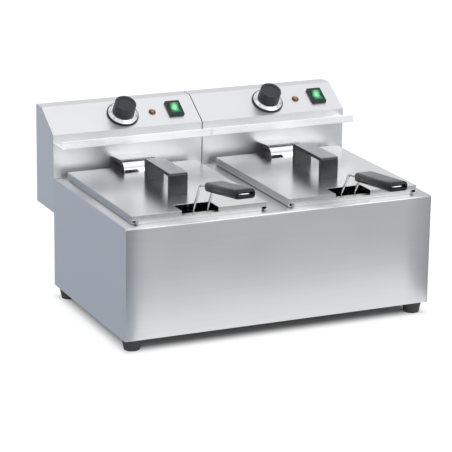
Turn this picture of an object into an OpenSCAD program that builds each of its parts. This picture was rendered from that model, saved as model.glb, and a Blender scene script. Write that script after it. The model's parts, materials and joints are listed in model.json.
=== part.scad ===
// Twin-tank countertop deep fryer.
// Two lift-out tanks stand side by side in one sheet-steel cabinet. Each has its own lift-off
// control head with element, its own basket and its own lid.
// Build frame: x 0 at the cabinet's middle, y 0 at its front face, z 0 under the feet.

/* [Cabinet] */
// Width of the cabinet
body_w = 550; // [480:5:680]
// Depth of the cabinet, front face to rear face
body_d = 326; // [326:1:400]
// Height of the cabinet's sheet, without the feet
body_h = 187; // [160:1:240]
// Thickness of the cabinet and head sheet
sheet_t = 1; // [0.8:0.1:1.6]
// Outer radius of the cabinet's folded edges
bend_r = 3; // [2:0.5:6]
// Thickness of the base plate
base_t = 1; // [0.8:0.1:2]

/* [Feet] */
// Height of a foot
foot_h = 20; // [12:1:30]
// Diameter of a foot where it meets the base
foot_top_d = 34; // [28:1:40]
// Diameter of a foot where it meets the worktop
foot_tip_d = 26; // [20:1:30]
// Distance of a foot's centre from the cabinet's sides
foot_inset = 20; // [20:1:40]
// Shank diameter of a foot's screw
foot_screw_d = 5; // [4:0.5:6]

/* [Tank] */
// Inside width of a tank
tank_w = 200; // [180:1:212]
// Inside length of a tank, front to rear
tank_l = 266; // [255:1:272]
// Inside depth of a tank below its rim
tank_depth = 150; // [125:1:158]
// Thickness of the tank's sheet
tank_t = 0.8; // [0.8:0.1:1.4]
// Inside radius of the tank's upright corners
tank_r = 18; // [8:1:22]
// Width of the tank's flat rim
rim_w = 12; // [9:1:13]
// Height of the rim above the deck
rim_rise = 6; // [4:0.5:10]
// Distance from the cabinet's front face to the inside of the tank
tank_front = 31; // [25:1:35]

/* [Head] */
// Depth of a control head, front to rear
head_d = 85; // [80:1:110]
// Height of a control head
head_h = 172; // [160:1:200]
// Distance that a head hangs below the deck
head_drop = 60; // [45:1:80]
// Height of the sloped control panel, measured upright
slope_rise = 36; // [28:1:44]
// Depth of the sloped control panel, measured level
slope_run = 57; // [50:1:62]
// Diameter of the cord hole through a gland
gland_bore_d = 9; // [7:0.5:11]

/* [Controls] */
// Distance of the knob, lamp and switch up the sloped panel
control_s = 33; // [28:1:38]
// Diameter of the knob at its foot
knob_d = 39; // [30:1:42]
// Height of the knob
knob_h = 20; // [14:1:26]
// Diameter of the dial ring
dial_d = 52; // [48:1:58]
// Diameter of the thermostat's shaft
shaft_d = 6; // [5:0.5:8]
// Distance of the pilot lamp to the right of the knob
lamp_x = 55; // [46:1:64]
// Diameter of the pilot lamp's lens
lamp_d = 12.5; // [9:0.5:15]
// Distance of the switch to the right of the knob
switch_x = 97; // [92:1:110]
// Distance that the switch stands further up the panel than the knob
switch_s = 2; // [0:0.5:4]
// Width of the switch's frame
switch_w = 27; // [24:0.5:32]
// Length of the switch's frame
switch_l = 35; // [32:0.5:42]
// Width of the switch's rocker
rocker_w = 16; // [12:0.5:18]
// Length of the switch's rocker
rocker_l = 25; // [20:0.5:28]

/* [Hanging rail] */
// Distance of the rail's lip in front of the head
rail_reach = 41; // [30:1:50]
// Height of the rail's lip
rail_h = 13; // [8:1:18]
// Height of the rail's lower edge above the deck
rail_up = 60.5; // [50:0.5:62]

/* [Element] */
// Width of the hood over the element
hood_w = 62; // [56:1:64]
// Height of the hood above the deck
hood_up = 33; // [29:1:38]
// Outer radius of the hood's nose
hood_nose_r = 22; // [16:1:24]
// Distance that the hood reaches down into the tank, from the deck
hood_down = 45; // [30:1:60]
// Diameter of the element's tube
tube_d = 8; // [6.5:0.5:8.5]
// Distance between the legs of the element
leg_pitch = 40; // [36:1:42]

/* [Basket] */
// Space between a basket's sides and its tank's sides
basket_side = 12; // [10:0.5:20]
// Space between a basket's front and its tank's front
basket_front = 8; // [6:0.5:20]
// Space between a basket's rear and its tank's rear
basket_rear = 39; // [38:1:60]
// Distance of a basket's top edge below its tank's rim
basket_down = 10.7; // [9:0.1:40]
// Thickness of the mesh
mesh_t = 1.2; // [1:0.1:2]
// Diameter of the frame's wire
wire_d = 4; // [3:0.5:4.5]
// Distance that the left basket stands to the right of its tank's middle
left_shift = 7; // [0:1:8]
// Distance that the right basket stands to the right of its tank's middle
right_shift = -2; // [-8:1:8]
// Height above the deck where the left handle's wires bend forward
left_bend_up = 57; // [48:1:64]
// Height above the deck where the right handle's wires bend forward
right_bend_up = 48; // [44:1:64]
// Slope of the left grip
left_grip_tilt = 8.2; // [2:0.1:12]
// Slope of the right grip
right_grip_tilt = 5.8; // [2:0.1:12]
// Length of a grip
grip_l = 118; // [90:1:140]
// Width of a grip
grip_w = 34.5; // [32:0.5:40]
// Thickness of a grip
grip_t = 15; // [12:0.5:20]

/* [Lid] */
// Distance that a lid reaches past each side of its tank's rim
lid_side = 6; // [4:0.5:7]
// Height of a lid's top above the deck
lid_up = 14; // [13:0.5:18]
// Thickness of a lid's sheet
lid_t = 1; // [0.8:0.1:1.5]
// Distance of the lid's front edge behind the rim's front edge
lid_in = 1; // [0:0.5:4]
// Width of the notch in the lid's front edge
notch_w = 64; // [56:1:70]
// Depth of the notch in the lid's front edge
notch_l = 36; // [30:1:40]
// Width of the lid's handle
handle_w = 32; // [26:1:40]
// Length of the lid's handle
handle_l = 108; // [90:1:130]
// Height of the lid's handle
handle_h = 37.5; // [32:0.5:45]
// Distance from the cabinet's front face to the lid's handle
handle_front = 108; // [95:1:118]

/* [Hidden] */
$fn = 48;
left = -1;
right = 1;
eps = 0.01; // overlap of cuts past a face

// clearances
seat_gap = 0.3; // between pieces that lift apart
slip_gap = 0.1; // between a fastener and its hole
turn_gap = 0.05; // radial gap of a turning fit
tank_gap = 1.5; // between a tank and the deck's opening
hood_gap = 2; // between the hood and the lid's rear notch
head_gap = 1.6; // between the two heads

// cabinet
deck_z = foot_h + body_h;
casing_in_w = body_w - 2 * sheet_t;
casing_in_d = body_d - 2 * sheet_t;
tank_x = body_w / 4;
foot_dx = body_w / 2 - foot_inset;
foot_ys = [foot_inset, body_d - foot_inset];
foot_head_d = 2 * foot_screw_d;
foot_head_h = 3.5;
foot_pocket = 8;
stud_d = 8;
stud_head_d = 14;
stud_dx = 90;
stud_up = 24; // above the head's lower edge

// tank
rim_z = deck_z + rim_rise;
floor_z = rim_z - tank_depth;
tank_mid_y = tank_front + tank_l / 2;

// head
face_y = body_d + seat_gap;
back_y = face_y + head_d;
head_w = body_w / 2 - head_gap;
head_z = deck_z - head_drop;
head_top_z = head_z + head_h;
face_top_z = head_top_z - slope_rise;
slope_tilt = atan2(slope_rise, slope_run);
stud_z = head_z + stud_up;
gland_d = gland_bore_d + 9;
gland_dx = 95;
gland_z = head_z + 24;
gland_out = 11;
gland_in = 9;
back_screw_d = 3.5;
back_screw_at = [for (x = [-1, 1], z = [9, head_h - 12]) [x * (head_w / 2 - 12), head_z + z]];

// rail
rail_t = 1.5;

// hood and element
hood_t = 1.2;
hood_in = 30.7; // from the tank's rear wall forward to the hood's front
hood_front_y = tank_front + tank_l - hood_in;
tube_drop = 11; // tube's centre below the hood's top
tube_top_z = deck_z + hood_up - tube_drop;
tube_low_z = floor_z + 18;
riser_y = hood_front_y + 10;
elbow_r = 12;
leg_front_y = tank_front + 29 + leg_pitch / 2;
cross_r = 14;
cross_y = riser_y + 12;
tube_end_y = face_y + 42;
clamp_h = tube_d + 4;
clamp_l = 14;
clamp_ys = [leg_front_y + 12, riser_y - 46];
bulb_d = 6;
fine_d = 3; // fine tubes of the sensor bulbs
bulb_dx = 6;
bulb_z = tube_low_z + 1;

// controls, measured from the panel's surface
dial_h = 5;
dial_base_h = 2.4;
dial_base_d = dial_d + 4;
dial_top_d = 42;
knob_taper = 1;
shaft_in = 16;
thermostat_size = [40, 34, 24];
lamp_body_d = 9.5;
lamp_in = 26;
switch_body_w = switch_w - 4;
switch_body_l = switch_l - 4;
switch_in = 24;
frame_t = 4;
rocker_gap = 0.4;
rocker_tilt = 8;
pivot_d = 3;
pivot_l = 1.6;
pivot_in = 1;

// basket
runner_d = 5;
basket_z = tube_low_z + clamp_h / 2 + seat_gap + runner_d;
basket_top_z = rim_z - basket_down;
basket_h = basket_top_z - basket_z;
basket_w = tank_w - 2 * basket_side;
basket_l = tank_l - basket_front - basket_rear;
basket_front_y = tank_front + basket_front;
basket_mid_y = basket_front_y + basket_l / 2;
basket_r = 20;
handle_dx = 12.5;
handle_y = basket_front_y - wire_d - 0.05; // just in front of the rim ring
ring_z = basket_top_z + wire_d / 2;
loop_r = 6;
knuckle_d = wire_d + 0.3;
lean_z = rim_z + 3;
hook_dx = 60;
hook_d = wire_d - 0.6;
hook_r = 5;
bend_y = 8;
grip_y = -18;
grip_r = 5;
grip_wire_in = 2; // wire's end inside the grip's front face

// lid
lid_z = deck_z + lid_up;
lid_w = tank_w + 2 * rim_w + 2 * lid_side;
lid_l = tank_l + 2 * rim_w - lid_in;
lid_front = tank_front - rim_w + lid_in;
lip_gap = 1; // between a lid's lips and the rim
lip_w = lid_side - lip_gap;
lid_mid_y = lid_front + lid_l / 2;
lid_notch_back = lid_front + lid_l - (hood_front_y + hood_t) + hood_gap;
handle_t = 6;
handle_leg_t = 8;
handle_r = 5;
lid_screw_d = 4;

// how far the front-most grip reaches, and where the whole fryer's middle lies
function grip_reach(tilt) = -grip_y + grip_l * cos(tilt) + grip_t / 2 * sin(tilt);
front_y = -max(grip_reach(left_grip_tilt), grip_reach(right_grip_tilt));
mid_y = (front_y + back_y + gland_out) / 2;

function shift_of(side) = side == left ? left_shift : right_shift;
function bend_of(side) = deck_z + (side == left ? left_bend_up : right_bend_up);
function tilt_of(side) = side == left ? left_grip_tilt : right_grip_tilt;

steel = "lightsteelblue";
polished = "gainsboro";
plastic = "dimgray";

// ---- placing ----

// puts the whole fryer's middle at the origin
module place() { translate([0, -mid_y, 0]) children(); }

// puts a piece of one side over its own tank
module at_side(side) { place() translate([side * tank_x, 0, 0]) children(); }

// puts a basket's piece where that basket stands
module at_basket(side) { at_side(side) translate([shift_of(side), 0, 0]) children(); }

// local x runs right, local y up the slope and local z out of the control panel
module on_panel(x, up = 0) {
    translate([x, face_y, face_top_z]) rotate([slope_tilt, 0, 0]) translate([0, control_s + up, 0])
        children();
}

// extrudes an outline drawn in y and z along x, centred
module along_x(w) { translate([-w / 2, 0, 0]) rotate([90, 0, 90]) linear_extrude(w) children(); }

// a cylinder along y from y0 to y1
module rod_y(d, x, z, y0, y1) {
    translate([x, y0, z]) rotate([-90, 0, 0]) cylinder(h = y1 - y0, d = d);
}

module rounded_rect(w, l, r) {
    square([w - 2 * r, l], center = true);
    square([w, l - 2 * r], center = true);
    for (x = [-1, 1], y = [-1, 1]) translate([x * (w / 2 - r), y * (l / 2 - r)]) circle(r);
}

// a quarter of a ring bar in the plane of local x and y
module quarter_bend(r, d) { rotate_extrude(angle = 90) translate([r, 0]) circle(d = d); }

// a closed ring of round wire that follows a rounded rectangle
module wire_ring(w, l, r, d) {
    for (s = [-1, 1]) {
        translate([-w / 2 + r, s * l / 2, 0]) rotate([0, 90, 0]) cylinder(h = w - 2 * r, d = d);
        translate([s * w / 2, -l / 2 + r, 0]) rotate([-90, 0, 0]) cylinder(h = l - 2 * r, d = d);
    }
    for (k = [0:3]) {
        cx = (k == 0 || k == 3 ? 1 : -1) * (w / 2 - r);
        cy = (k < 2 ? 1 : -1) * (l / 2 - r);
        translate([cx, cy, 0]) rotate([0, 0, 90 * k]) quarter_bend(r, d);
    }
}

// a box with rounded top edges and upright edges, standing on its flat bottom
module soft_box(w, l, h, r) {
    linear_extrude(h - r) rounded_rect(w, l, r);
    translate([0, 0, h - r]) {
        linear_extrude(r) square([w - 2 * r, l - 2 * r], center = true);
        for (s = [-1, 1]) {
            translate([-w / 2 + r, s * (l / 2 - r), 0]) rotate([0, 90, 0])
                cylinder(h = w - 2 * r, r = r);
            translate([s * (w / 2 - r), -l / 2 + r, 0]) rotate([-90, 0, 0])
                cylinder(h = l - 2 * r, r = r);
        }
        for (x = [-1, 1], y = [-1, 1]) translate([x * (w / 2 - r), y * (l / 2 - r), 0]) sphere(r);
    }
}

// ---- cabinet ----

module stud_places() {
    for (side = [left, right], x = [-1, 1])
        translate([side * tank_x + x * stud_dx, body_d, stud_z]) rotate([-90, 0, 0]) children();
}

// front, sides, rear and deck folded and welded from one sheet
module outer_casing() {
    opening_w = tank_w + 2 * tank_t + 2 * tank_gap;
    opening_l = tank_l + 2 * tank_t + 2 * tank_gap;
    color(steel) place() difference() {
        translate([0, body_d / 2, foot_h]) soft_box(body_w, body_d, body_h, bend_r);
        translate([0, body_d / 2, foot_h - eps])
            soft_box(casing_in_w, casing_in_d, body_h - sheet_t + eps, bend_r - sheet_t);
        for (side = [left, right])
            translate([side * tank_x, tank_mid_y, deck_z - 2 * sheet_t])
                linear_extrude(3 * sheet_t) rounded_rect(opening_w, opening_l, tank_r + tank_gap);
        stud_places() translate([0, 0, -2 * sheet_t]) cylinder(h = 3 * sheet_t, d = stud_d + 2 * slip_gap);
    }
}

module foot_places() {
    for (x = [-1, 1], y = foot_ys) translate([x * foot_dx, y, 0]) children();
}

// closes the cabinet from below
module base_plate() {
    color(steel) place() difference() {
        translate([0, body_d / 2, foot_h]) linear_extrude(base_t)
            rounded_rect(casing_in_w - 2 * slip_gap, casing_in_d - 2 * slip_gap, bend_r - sheet_t);
        foot_places() translate([0, 0, foot_h - eps])
            cylinder(h = 2 * base_t, d = foot_screw_d + 2 * slip_gap);
    }
}

// four tapered rubber feet with a pocket for the screw's head
module feet() {
    color("black") place() foot_places() difference() {
        cylinder(h = foot_h, d1 = foot_tip_d, d2 = foot_top_d);
        translate([0, 0, -eps]) cylinder(h = foot_pocket, d = foot_head_d + 4);
        cylinder(h = foot_h + eps, d = foot_screw_d + 2 * slip_gap);
    }
}

// four screws with their nuts inside the cabinet
module foot_screws() {
    color(polished) place() foot_places() {
        translate([0, 0, foot_pocket - foot_head_h]) cylinder(h = foot_head_h - eps, d = foot_head_d);
        translate([0, 0, foot_pocket - 1]) cylinder(h = foot_h - foot_pocket + base_t + 6, d = foot_screw_d);
        translate([0, 0, foot_h + base_t]) cylinder(h = 4, d = 1.8 * foot_screw_d, $fn = 6);
    }
}

// four shouldered studs that the two heads hang on
module hanging_studs() {
    shank = seat_gap + sheet_t + 2 * seat_gap;
    color(polished) place() stud_places() {
        translate([0, 0, -sheet_t - 3]) cylinder(h = 3, d = stud_head_d);
        translate([0, 0, -sheet_t - eps]) cylinder(h = sheet_t + shank + 2 * eps, d = stud_d);
        translate([0, 0, shank]) cylinder(h = 2.5, d = stud_head_d);
    }
}

// ---- tank ----

// pressed oil tank that hangs in the deck's opening by its rim
module tank(side) {
    outer_w = tank_w + 2 * tank_t;
    outer_l = tank_l + 2 * tank_t;
    rim_l = tank_l + 2 * rim_w;
    full_w = tank_w + 2 * rim_w;
    color(polished) at_side(side) translate([0, tank_mid_y, 0]) difference() {
        union() {
            translate([0, 0, floor_z - tank_t]) linear_extrude(tank_depth + tank_t)
                rounded_rect(outer_w, outer_l, tank_r + tank_t);
            translate([0, 0, deck_z]) linear_extrude(rim_rise) rounded_rect(full_w, rim_l, tank_r / 3);
        }
        translate([0, 0, floor_z]) linear_extrude(tank_depth + eps) rounded_rect(tank_w, tank_l, tank_r);
        translate([0, 0, deck_z - eps]) linear_extrude(rim_rise - tank_t + eps) difference() {
            rounded_rect(full_w - 2 * tank_t, rim_l - 2 * tank_t, tank_r / 3 - tank_t);
            rounded_rect(outer_w, outer_l, tank_r + tank_t);
        }
    }
}

// ---- control head ----

// a head's side outline, drawn in y and z, set in by t on every side but the rear
module head_outline(t) {
    drop = t * tan((90 - slope_tilt) / 2); // how far the inner lower corner of the slope moves
    lift = t * tan(slope_tilt / 2);
    polygon([
        [face_y + t, head_z + t], [back_y + (t > 0 ? 1 : 0), head_z + t],
        [back_y + (t > 0 ? 1 : 0), head_top_z - t],
        [face_y + slope_run + lift, head_top_z - t], [face_y + t, face_top_z - drop]
    ]);
}

// front, slope, top, bottom and sides of a head; the rear is open
module head_casing(side) {
    color(steel) at_side(side) difference() {
        intersection() {
            along_x(head_w) head_outline(0);
            translate([-head_w, 0, 0]) cube([2 * head_w, back_y - sheet_t, head_top_z + 1]);
        }
        along_x(head_w - 2 * sheet_t) head_outline(sheet_t);
        // slots that drop over the studs
        for (x = [-1, 1]) translate([x * stud_dx, face_y, 0]) {
            slot_w = stud_d + 2 * seat_gap;
            translate([0, -1, stud_z]) rotate([-90, 0, 0]) cylinder(h = sheet_t + 1 + eps, d = slot_w);
            translate([-slot_w / 2, -1, head_z - 1]) cube([slot_w, sheet_t + 1 + eps, stud_z - head_z + 1]);
            translate([-stud_head_d / 2 - 1, sheet_t, head_z - 1])
                cube([stud_head_d + 2, 6, sheet_t + 1 + eps]);
        }
        // way in for the element under the hood
        for (x = [-1, 1]) {
            rod_y(tube_d + 2 * slip_gap, x * leg_pitch / 2, tube_top_z, face_y - 1, face_y + 2 * sheet_t);
            rod_y(fine_d + 2 * slip_gap, x * bulb_dx, tube_top_z, face_y - 1, face_y + 2 * sheet_t);
        }
        on_panel(0) translate([0, 0, -3]) cylinder(h = 6, d = shaft_d + 2);
        on_panel(lamp_x) translate([0, 0, -3]) cylinder(h = 6, d = lamp_body_d + 2 * slip_gap);
        on_panel(switch_x, switch_s)
            cube([switch_body_w + 2 * slip_gap, switch_body_l + 2 * slip_gap, 6], center = true);
    }
}

// flat cover that closes a head from behind
module head_back(side) {
    color(steel) at_side(side) difference() {
        translate([-head_w / 2, back_y - sheet_t, head_z]) cube([head_w, sheet_t, head_h]);
        for (p = back_screw_at) rod_y(back_screw_d + 2 * slip_gap, p[0], p[1], back_y - 3, back_y + 1);
        rod_y(gland_d - 4 + 2 * slip_gap, gland_dx, gland_z, back_y - 3, back_y + 1);
    }
}

// four screws with pressed nuts behind the cover
module back_screws(side) {
    color(polished) at_side(side) for (p = back_screw_at) {
        rod_y(2 * back_screw_d, p[0], p[1], back_y, back_y + 2);
        rod_y(back_screw_d, p[0], p[1], back_y - 8, back_y + eps);
        rod_y(2 * back_screw_d, p[0], p[1], back_y - sheet_t - 4, back_y - sheet_t);
    }
}

// cord gland: flange outside, nut inside
module cable_gland(side) {
    color("black") at_side(side) difference() {
        union() {
            rod_y(gland_d, gland_dx, gland_z, back_y, back_y + 4);
            rod_y(gland_d - 3, gland_dx, gland_z, back_y, back_y + gland_out);
            rod_y(gland_d - 4, gland_dx, gland_z, back_y - gland_in, back_y + eps);
            translate([gland_dx, back_y - sheet_t - 5, gland_z]) rotate([-90, 0, 0])
                cylinder(h = 5, d = gland_d + 2, $fn = 6);
        }
        rod_y(gland_bore_d, gland_dx, gland_z, back_y - gland_in - 1, back_y + gland_out + 1);
    }
}

// shelf with a raised front lip, open at both ends; the baskets' rear hooks hang on the lip to drain
module hanging_rail(side) {
    color(polished) at_side(side) translate([-head_w / 2, face_y - rail_reach, deck_z + rail_up]) {
        cube([head_w, rail_reach, rail_t]);
        cube([head_w, rail_t, rail_h]);
    }
}

// polished cover over the element's risers: level run, rounded nose and front drop
module element_hood(side) {
    top_z = deck_z + hood_up;
    end_z = top_z - 2.5; // the level run falls a little towards the head
    low_z = deck_z - hood_down;
    nose = [hood_front_y + hood_nose_r, top_z - hood_nose_r];
    color(polished) at_side(side) {
        along_x(hood_w) polygon([
            [nose[0], top_z], [face_y, end_z], [face_y, end_z - hood_t], [nose[0], top_z - hood_t]
        ]);
        along_x(hood_w) intersection() {
            difference() {
                translate(nose) circle(hood_nose_r);
                translate(nose) circle(hood_nose_r - hood_t);
            }
            translate([hood_front_y - 1, nose[1]]) square(hood_nose_r + 1);
        }
        along_x(hood_w) translate([hood_front_y, low_z]) square([hood_t, nose[1] - low_z]);
    }
}

// one bent tube: two inner legs rise under the hood, two outer legs join across the rear
module heating_element(side) {
    x_in = leg_pitch / 2;
    x_out = leg_pitch * 3 / 2;
    color("dimgray") at_side(side) {
        for (s = [-1, 1]) {
            rod_y(tube_d, s * x_in, tube_top_z, riser_y + elbow_r, tube_end_y);
            translate([s * x_in, riser_y + elbow_r, tube_top_z - elbow_r]) rotate([90, 0, -90])
                quarter_bend(elbow_r, tube_d);
            translate([s * x_in, riser_y, tube_low_z + elbow_r])
                cylinder(h = tube_top_z - tube_low_z - 2 * elbow_r, d = tube_d);
            translate([s * x_in, riser_y - elbow_r, tube_low_z + elbow_r]) rotate([-90, 0, 90])
                quarter_bend(elbow_r, tube_d);
            rod_y(tube_d, s * x_in, tube_low_z, leg_front_y, riser_y - elbow_r);
            rod_y(tube_d, s * x_out, tube_low_z, leg_front_y, cross_y - cross_r);
            translate([s * leg_pitch, leg_front_y, tube_low_z]) rotate([0, 0, 180])
                rotate_extrude(angle = 180) translate([leg_pitch / 2, 0]) circle(d = tube_d);
            translate([s * (x_out - cross_r), cross_y - cross_r, tube_low_z])
                rotate([0, 0, s > 0 ? 0 : 90]) quarter_bend(cross_r, tube_d);
        }
        translate([-(x_out - cross_r), cross_y, tube_low_z]) rotate([0, 90, 0])
            cylinder(h = 2 * (x_out - cross_r), d = tube_d);
    }
}

// two bars that hold the element's legs and the bulbs apart and carry the basket
module element_clamps(side) {
    bar_w = 3 * leg_pitch + 3 * tube_d;
    color(polished) at_side(side) for (y = clamp_ys) difference() {
        translate([-bar_w / 2, y - clamp_l / 2, tube_low_z - clamp_h / 2]) cube([bar_w, clamp_l, clamp_h]);
        for (k = [-3:2:3])
            rod_y(tube_d + 2 * slip_gap, k * leg_pitch / 2, tube_low_z, y - clamp_l, y + clamp_l);
        for (x = [-bulb_dx, bulb_dx])
            rod_y(bulb_d + 2 * slip_gap, x, bulb_z, y - clamp_l, y + clamp_l);
    }
}

// two liquid-filled bulbs in the oil with their fine tubes running up under the hood
module sensor_bulbs(side) {
    bend = 8;
    color("tan") at_side(side) for (s = [-1, 1]) translate([s * bulb_dx, 0, 0]) {
        rod_y(bulb_d, 0, bulb_z, riser_y - 40 - 90, riser_y - 40);
        rod_y(fine_d, 0, bulb_z, riser_y - 40 - eps, riser_y - bend);
        translate([0, riser_y - bend, bulb_z + bend]) rotate([-90, 0, 90]) quarter_bend(bend, fine_d);
        translate([0, riser_y, bulb_z + bend]) cylinder(h = tube_top_z - bulb_z - 2 * bend, d = fine_d);
        translate([0, riser_y + bend, tube_top_z - bend]) rotate([90, 0, -90]) quarter_bend(bend, fine_d);
        rod_y(fine_d, 0, tube_top_z, riser_y + bend, face_y + 30);
    }
}

// ---- controls ----

// thermostat under the panel with the shaft's bearing
module thermostat(side) {
    size = thermostat_size;
    color("tan") at_side(side) on_panel(0) difference() {
        union() {
            translate([-size[0] / 2, -size[1] / 2, -sheet_t - 2 - size[2]]) cube(size);
            translate([0, 0, -sheet_t - 2.1]) cylinder(h = 2, d = shaft_d + 8);
        }
        translate([0, 0, -sheet_t - shaft_in - 1]) cylinder(h = shaft_in + 2, d = shaft_d + 2 * turn_gap);
    }
}

// overheat cut-out on the head's back cover
module limit_cutout(side) {
    y0 = back_y - sheet_t - 22;
    color("tan") at_side(side) {
        rod_y(24, -60, head_z + 58, y0 + 8, back_y - sheet_t);
        rod_y(16, -60, head_z + 58, y0, y0 + 8 + eps);
    }
}

// terminal block on the head's floor with a row of wire holes
module terminal_block(side) {
    ways = 5;
    pitch = 11;
    color("ivory") at_side(side) translate([0, face_y + 44, head_z + sheet_t]) difference() {
        translate([-ways * pitch / 2, 0, 0]) cube([ways * pitch, 22, 18]);
        for (k = [0:ways - 1]) translate([(k + 0.5 - ways / 2) * pitch, 0, 0]) {
            translate([0, -1, 7]) rotate([-90, 0, 0]) cylinder(h = 24, d = 5);
            translate([0, 11, 10]) cylinder(h = 9, d = 6);
        }
    }
}

// black ring under the dial
module dial_base(side) {
    color("black") at_side(side) on_panel(0) difference() {
        cylinder(h = dial_base_h, d = dial_base_d);
        translate([0, 0, -1]) cylinder(h = 4, d = shaft_d + 3);
    }
}

// silver dial ring that turns with the knob
module dial_ring(side) {
    color(polished) at_side(side) on_panel(0) translate([0, 0, dial_base_h + seat_gap]) difference() {
        union() {
            cylinder(h = 1, d = dial_d);
            translate([0, 0, 1 - eps]) cylinder(h = dial_h - 1, d1 = dial_d, d2 = dial_top_d);
        }
        translate([0, 0, -1]) cylinder(h = dial_h + 2, d = knob_d - 6);
    }
}

// black knob with a shallow recess in its cap and a pointer groove
module knob(side) {
    z0 = dial_base_h + seat_gap + dial_h;
    color(plastic) at_side(side) on_panel(0) difference() {
        union() {
            translate([0, 0, z0 - 3]) cylinder(h = 3 + eps, d = knob_d - 6 - 2 * slip_gap);
            translate([0, 0, z0]) cylinder(h = knob_h, d1 = knob_d, d2 = knob_d - 2 * knob_taper);
        }
        translate([0, 0, z0 + knob_h - 1.2]) cylinder(h = 2, d = knob_d - 11);
        translate([0, 0, z0 - 4]) cylinder(h = 14, d = shaft_d + 2 * slip_gap);
        translate([-0.8, knob_d / 2 - 5, z0 + knob_h - 0.8]) cube([1.6, 6, 2]);
    }
}

module knob_shaft(side) {
    z0 = dial_base_h + seat_gap + dial_h;
    color(polished) at_side(side) on_panel(0)
        translate([0, 0, -sheet_t - shaft_in]) cylinder(h = sheet_t + shaft_in + z0 + 9, d = shaft_d);
}

// amber lamp in one moulding: lens, neck and body
module pilot_lamp(side) {
    color("goldenrod") at_side(side) on_panel(lamp_x) {
        cylinder(h = 1.2, d = lamp_d);
        translate([0, 0, 1.2 - eps]) cylinder(h = 1.6, d1 = lamp_d - 1, d2 = lamp_d - 4);
        translate([0, 0, -lamp_in]) cylinder(h = lamp_in + eps, d = lamp_body_d);
    }
}

// switch frame and body; the pocket holds the rocker on two pivots
module switch_body(side) {
    color("black") at_side(side) on_panel(switch_x, switch_s) difference() {
        union() {
            linear_extrude(frame_t) rounded_rect(switch_w, switch_l, 2);
            translate([0, 0, -switch_in / 2 + eps])
                cube([switch_body_w, switch_body_l, switch_in], center = true);
            for (x = [-1, 0, 1]) translate([x * 7 - 2, -0.4, -switch_in - 8]) cube([4, 0.8, 9]);
        }
        translate([0, 0, frame_t / 2 - 5])
            cube([rocker_w + 2 * rocker_gap, rocker_l + 2 * rocker_gap, 10 + frame_t], center = true);
        translate([0, 0, -pivot_in]) rotate([0, 90, 0])
            cylinder(h = rocker_w + 2 * pivot_l + 0.4, d = pivot_d + 2 * turn_gap, center = true);
    }
}

// lit rocker with a hollowed face; at rest its upper end stands proud
module rocker(side) {
    half = rocker_l / 2;
    low = 3.2;
    high = 6.5;
    color("limegreen") at_side(side) on_panel(switch_x, switch_s)
    translate([0, 0, -pivot_in]) rotate([rocker_tilt, 0, 0]) {
        along_x(rocker_w) intersection() {
            circle(half);
            polygon([
                [-half, -4], [half, -4], [half, high + pivot_in], [half - 4, high + pivot_in],
                [0, low + pivot_in], [-half + 4, high + pivot_in], [-half, high + pivot_in]
            ]);
        }
        rotate([0, 90, 0]) cylinder(h = rocker_w + 2 * pivot_l, d = pivot_d, center = true);
    }
}

// ---- basket ----

// stand-in for the woven mesh: an open box of its outer shape
module basket_mesh(side) {
    color("silver") at_basket(side) translate([0, basket_mid_y, basket_z]) difference() {
        linear_extrude(basket_h) rounded_rect(basket_w, basket_l, basket_r);
        translate([0, 0, mesh_t]) linear_extrude(basket_h)
            rounded_rect(basket_w - 2 * mesh_t, basket_l - 2 * mesh_t, basket_r - mesh_t);
    }
}

// two parallel legs along +z from z = 0, joined by a round-cornered bridge at z = l
module wire_loop(l) {
    for (s = [-1, 1]) {
        translate([s * handle_dx, 0, 0]) cylinder(h = l - loop_r, d = wire_d);
        translate([s * (handle_dx - loop_r), 0, l - loop_r]) rotate([90, 0, s > 0 ? 0 : 180])
            quarter_bend(loop_r, wire_d);
    }
    translate([-(handle_dx - loop_r), 0, l]) rotate([0, 90, 0])
        cylinder(h = 2 * (handle_dx - loop_r), d = wire_d);
}

// the handle: one wire loop up the basket's front, leaning forward, then out through the grip
module basket_handle(side) {
    tilt = tilt_of(side);
    rise = [bend_y - handle_y, bend_of(side) - lean_z];
    low_z = basket_z + basket_h / 2;
    out = (bend_y - grip_y) / cos(tilt) + grip_l - grip_wire_in - wire_d / 2;
    $fn = 24;
    color(polished) at_basket(side) translate([0, handle_y, lean_z]) {
        rotate([0, 180, 0]) wire_loop(lean_z - low_z);
        for (x = [-handle_dx, handle_dx]) translate([x, 0, 0]) {
            rotate([atan2(-rise[0], rise[1]), 0, 0]) cylinder(h = norm(rise), d = wire_d);
            sphere(d = knuckle_d);
            translate([0, rise[0], rise[1]]) sphere(d = knuckle_d);
        }
        translate([0, rise[0], rise[1]]) rotate([90 - tilt, 0, 0]) wire_loop(out);
    }
}

// one rear hook: back from the rim ring, then down
module basket_hook() {
    out = 10;
    ring_y = basket_front_y + basket_l;
    rod_y(hook_d, 0, ring_z, ring_y, ring_y + out - hook_r);
    translate([0, ring_y + out - hook_r, ring_z - hook_r]) rotate([90, 0, 90]) quarter_bend(hook_r, hook_d);
    translate([0, ring_y + out, ring_z - 16]) cylinder(h = 16 - hook_r, d = hook_d);
}

// rim ring, runners and rear hooks, all of round wire
module basket_frame(side) {
    $fn = 24;
    color(polished) at_basket(side) {
        translate([0, basket_mid_y, ring_z]) wire_ring(basket_w, basket_l, basket_r, wire_d);
        for (y = clamp_ys) translate([-basket_w / 2 + 24, y, basket_z - runner_d / 2]) rotate([0, 90, 0])
            cylinder(h = basket_w - 48, d = runner_d);
        for (s = [-1, 1]) translate([s * hook_dx, 0, 0]) basket_hook();
    }
}

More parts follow.
